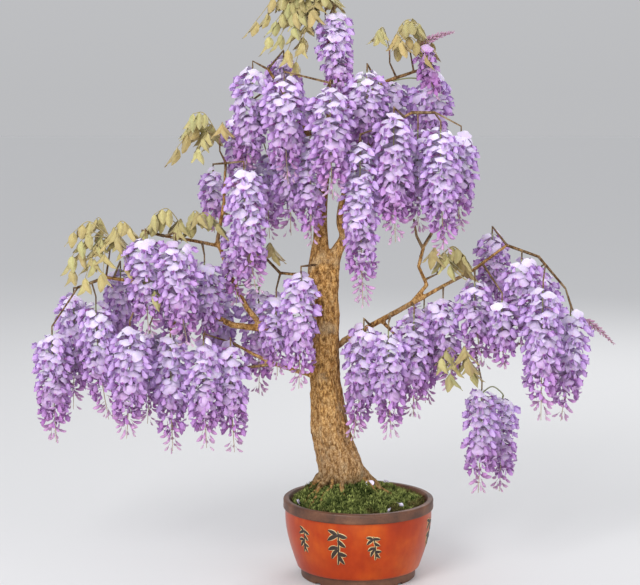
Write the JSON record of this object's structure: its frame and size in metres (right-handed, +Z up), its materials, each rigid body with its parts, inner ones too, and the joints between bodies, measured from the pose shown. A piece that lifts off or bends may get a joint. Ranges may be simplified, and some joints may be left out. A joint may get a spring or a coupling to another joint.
{
  "type": "potted wisteria bonsai",
  "caption": "Wisteria bonsai in flower: leaning trunk, spreading branches, hanging lilac racemes and young leaves, in a round glazed pot with moss.",
  "frame": {"origin": "centre of the pot's flat underside, on the surface that the pot stands on", "axes": "+Z up; -Y is the front, from which the tree is seen; +X is to the right of that view"},
  "size_m": [1.0371, 0.334, 1.0705],
  "materials": {
    "glazed_pot": "glossy orange glaze with a matte brown rim and foot",
    "soil": "loose dark potting soil",
    "moss": "soft green moss",
    "bark": "fissured golden grey bark",
    "blossom": "soft petals, pale lilac above and deeper violet below",
    "leaf": "thin young leaves, olive to bronze",
    "bud": "soft closed buds"
  },
  "bodies": {
    "root": {"pot": "glazed_pot", "soil": "soil", "moss": "moss", "tree": "bark", "raceme_left_01": "blossom", "raceme_left_02": "blossom", "raceme_left_03": "blossom", "raceme_left_04": "blossom", "raceme_left_05": "blossom", "raceme_left_06": "blossom", "raceme_left_07": "blossom", "raceme_left_08": "blossom", "raceme_left_09": "blossom", "raceme_left_10": "blossom", "raceme_left_11": "blossom", "raceme_left_12": "blossom", "raceme_left_14": "blossom", "raceme_left_15": "blossom", "raceme_left_16": "blossom", "raceme_left_17": "blossom", "raceme_left_18": "blossom", "raceme_left_19": "blossom", "raceme_crown_01": "blossom", "raceme_crown_02": "blossom", "raceme_crown_03": "blossom", "raceme_crown_04": "blossom", "raceme_crown_05": "blossom", "raceme_crown_06": "blossom", "raceme_crown_07": "blossom", "raceme_crown_08": "blossom", "raceme_crown_09": "blossom", "raceme_crown_10": "blossom", "raceme_crown_11": "blossom", "raceme_crown_12": "blossom", "raceme_crown_13": "blossom", "raceme_crown_14": "blossom", "raceme_crown_16": "blossom", "raceme_crown_17": "blossom", "raceme_crown_19": "blossom", "raceme_right_01": "blossom", "raceme_right_02": "blossom", "raceme_right_03": "blossom", "raceme_right_04": "blossom", "raceme_right_05": "blossom", "raceme_right_06": "blossom", "raceme_right_07": "blossom", "raceme_right_08": "blossom", "raceme_right_09": "blossom", "raceme_right_10": "blossom", "raceme_right_11": "blossom", "raceme_right_13": "blossom", "raceme_right_14": "blossom", "leaves_crown_top": "leaf", "leaves_crown_right": "leaf", "leaves_left_upper": "leaf", "leaves_left_lobe": "leaf", "leaves_right_inner": "leaf", "leaves_right_low": "leaf", "bud_spike_crown": "bud", "bud_spike_right": "bud"}
  },
  "joints": []
}
